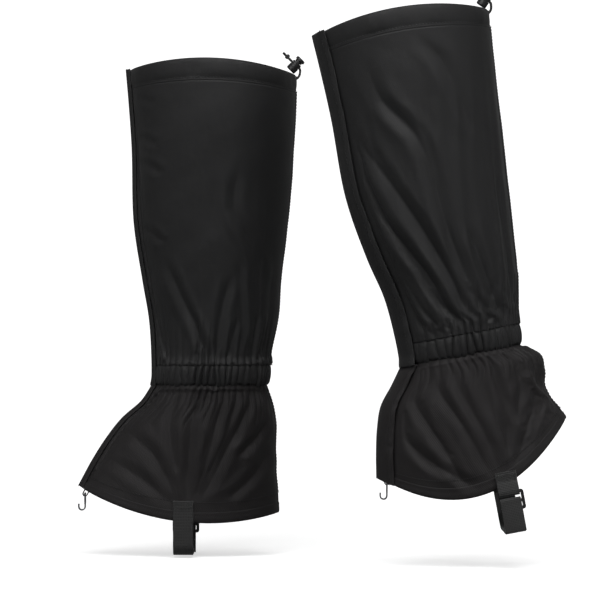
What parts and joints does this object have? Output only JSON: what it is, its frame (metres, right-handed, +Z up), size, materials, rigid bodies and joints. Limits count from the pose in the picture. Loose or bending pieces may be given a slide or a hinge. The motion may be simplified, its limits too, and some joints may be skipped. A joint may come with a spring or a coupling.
{
  "type": "gaiters",
  "caption": "Pair of knee-high hiking gaiters worn in a stride, with a drawcord top, elastic ankle, front closure flap, instep strap and lace hook.",
  "frame": {"origin": "centre of the right gaiter's elastic ankle band, on the leg's axis", "axes": "+Z up the right leg, -X towards the toes, +Y to the wearer's right"},
  "size_m": [0.4759, 0.305, 0.5528],
  "materials": {
    "calf_cloth": "smooth coated nylon, black",
    "skirt_cloth": "heavier woven nylon, warm black",
    "closure_tape": "hook-and-loop tape, black",
    "elastic": "knitted elastic, black",
    "cord": "braided cord, black",
    "webbing": "ribbed webbing, black",
    "plastic": "moulded plastic, black",
    "steel": "plated wire and sheet"
  },
  "bodies": {
    "right_calf": {"right_calf_outer_panel": "calf_cloth", "right_calf_inner_panel": "calf_cloth", "right_top_hem": "calf_cloth", "right_drawcord": "cord", "right_ankle_band": "calf_cloth", "right_ankle_elastic": "elastic", "right_calf_loop_tape": "closure_tape", "right_ankle_gather": "skirt_cloth"},
    "right_calf_closure": {"right_calf_flap": "calf_cloth", "right_calf_hook_tape": "closure_tape"},
    "right_skirt": {"right_skirt_outer_panel": "skirt_cloth", "right_skirt_inner_panel": "skirt_cloth", "right_bottom_hem": "skirt_cloth", "right_skirt_loop_tape": "closure_tape", "right_lace_hook_tab": "webbing"},
    "right_skirt_closure": {"right_skirt_flap": "skirt_cloth", "right_skirt_hook_tape": "closure_tape"},
    "right_strap": {"right_buckle_tab": "webbing", "right_ladder_buckle": "plastic", "right_instep_strap": "webbing"},
    "right_lace_catch": {"right_lace_hook": "steel"},
    "right_cord_lock": {"right_cord_lock_barrel": "plastic", "right_cord_lock_spring": "steel"},
    "right_lock_button": {"right_cord_lock_button": "plastic"},
    "left_calf": {"left_calf_outer_panel": "calf_cloth", "left_calf_inner_panel": "calf_cloth", "left_top_hem": "calf_cloth", "left_drawcord": "cord", "left_ankle_band": "calf_cloth", "left_ankle_elastic": "elastic", "left_calf_loop_tape": "closure_tape", "left_ankle_gather": "skirt_cloth"},
    "left_calf_closure": {"left_calf_flap": "calf_cloth", "left_calf_hook_tape": "closure_tape"},
    "left_skirt": {"left_skirt_outer_panel": "skirt_cloth", "left_skirt_inner_panel": "skirt_cloth", "left_bottom_hem": "skirt_cloth", "left_skirt_loop_tape": "closure_tape", "left_lace_hook_tab": "webbing"},
    "left_skirt_closure": {"left_skirt_flap": "skirt_cloth", "left_skirt_hook_tape": "closure_tape"},
    "left_strap": {"left_buckle_tab": "webbing", "left_ladder_buckle": "plastic", "left_instep_strap": "webbing"},
    "left_lace_catch": {"left_lace_hook": "steel"},
    "left_cord_lock": {"left_cord_lock_barrel": "plastic", "left_cord_lock_spring": "steel"},
    "left_lock_button": {"left_cord_lock_button": "plastic"}
  },
  "joints": [
    {"name": "right_calf_flap_hinge", "type": "hinge", "parent": "right_calf", "child": "right_calf_closure", "pos_m": [-0.0894, -0.01193, 0.3046], "axis": [-0.0813, 0.0005, 0.9967], "range_deg": [0, 100]},
    {"name": "right_ankle_flex", "type": "hinge", "parent": "right_calf", "child": "right_skirt", "pos_m": [0, 0, 0], "axis": [0, 1, 0], "range_deg": [-20, 5], "deforming": ["right_ankle_gather"]},
    {"name": "right_skirt_flap_hinge", "type": "hinge", "parent": "right_skirt", "child": "right_skirt_closure", "pos_m": [-0.08379, -0.01172, -0.03322], "axis": [0.5569, 0.0086, 0.8305], "range_deg": [0, 48]},
    {"name": "right_strap_swing", "type": "hinge", "parent": "right_skirt", "child": "right_strap", "pos_m": [-0.027, 0, -0.134], "axis": [0, 1, 0], "range_deg": [-20, 20]},
    {"name": "right_lace_hook_swing", "type": "hinge", "parent": "right_skirt", "child": "right_lace_catch", "pos_m": [-0.1263, 0, -0.11918], "axis": [0, 1, 0], "range_deg": [-30, 30]},
    {"name": "right_cord_lock_slide", "type": "slide", "parent": "right_calf", "child": "right_cord_lock", "axis": [-0.7071, 0, 0.7071], "range_m": [0, 0.0035]},
    {"name": "right_lock_button_press", "type": "slide", "parent": "right_cord_lock", "child": "right_lock_button", "axis": [-0.7071, 0, -0.7071], "range_m": [0, 0.002], "stiffness_N_per_m": 600, "springref_m": -0.002, "deforming": ["right_cord_lock_spring"]},
    {"name": "stride", "type": "slide", "parent": "right_calf", "child": "left_calf", "axis": [1, 0, 0], "range_m": [-0.48, 0]},
    {"name": "left_calf_flap_hinge", "type": "hinge", "parent": "left_calf", "child": "left_calf_closure", "pos_m": [0.092, -0.16807, 0.32504], "axis": [0.2589, 0.0005, -0.9659], "range_deg": [0, 100]},
    {"name": "left_ankle_flex", "type": "hinge", "parent": "left_calf", "child": "left_skirt", "pos_m": [0.2416, -0.18, 0.032], "axis": [0, 1, 0], "range_deg": [-5, 8], "deforming": ["left_ankle_gather"]},
    {"name": "left_skirt_flap_hinge", "type": "hinge", "parent": "left_skirt", "child": "left_skirt_closure", "pos_m": [0.1664, -0.16811, -0.01746], "axis": [-0.0973, 0.0045, -0.9952], "range_deg": [0, 48]},
    {"name": "left_strap_swing", "type": "hinge", "parent": "left_skirt", "child": "left_strap", "pos_m": [0.2839, -0.18, -0.09746], "axis": [0, 1, 0], "range_deg": [-20, 20]},
    {"name": "left_lace_hook_swing", "type": "hinge", "parent": "left_skirt", "child": "left_lace_catch", "pos_m": [0.17162, -0.18, -0.09979], "axis": [0, 1, 0], "range_deg": [-30, 30]},
    {"name": "left_cord_lock_slide", "type": "slide", "parent": "left_calf", "child": "left_cord_lock", "axis": [-0.8241, 0, 0.5664], "range_m": [0, 0.0035]},
    {"name": "left_lock_button_press", "type": "slide", "parent": "left_cord_lock", "child": "left_lock_button", "axis": [-0.5664, 0, -0.8241], "range_m": [0, 0.002], "stiffness_N_per_m": 600, "springref_m": -0.002, "deforming": ["left_cord_lock_spring"]}
  ]
}
